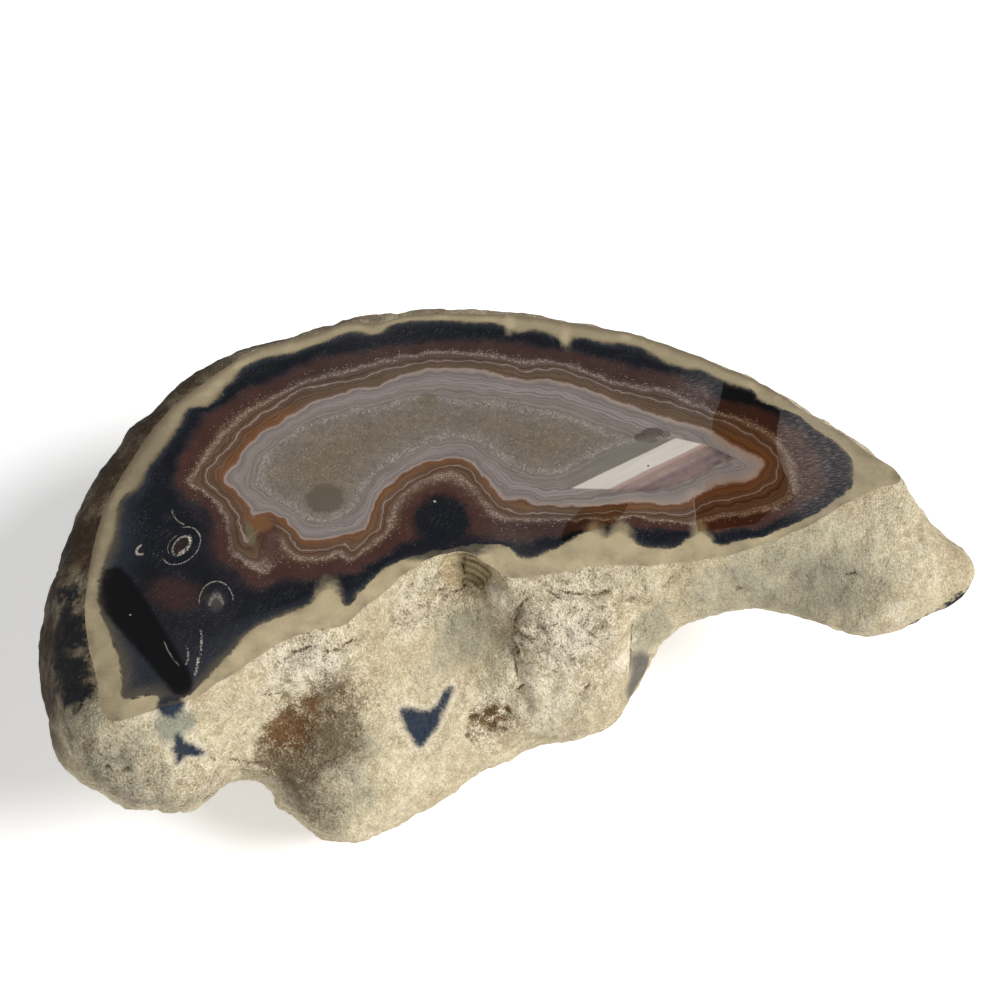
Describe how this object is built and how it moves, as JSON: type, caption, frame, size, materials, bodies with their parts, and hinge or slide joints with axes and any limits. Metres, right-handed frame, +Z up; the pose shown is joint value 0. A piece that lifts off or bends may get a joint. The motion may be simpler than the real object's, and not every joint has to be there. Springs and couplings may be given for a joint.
{
  "type": "agate half nodule",
  "caption": "Half of an agate nodule, sawn once and polished on the cut, with its rough natural rind all round and below.",
  "frame": {"origin": "middle of the bounding box on the level that the stone rests on", "axes": "+Z up, out of the polished face; +X along the stone towards its narrow end; +Y away from the notched side, towards the long curved side"},
  "size_m": [0.1536, 0.0994, 0.054],
  "materials": {
    "stone": "polished on the sawn face, rough natural rind elsewhere"
  },
  "bodies": {
    "root": {"agate": "stone"}
  },
  "joints": []
}
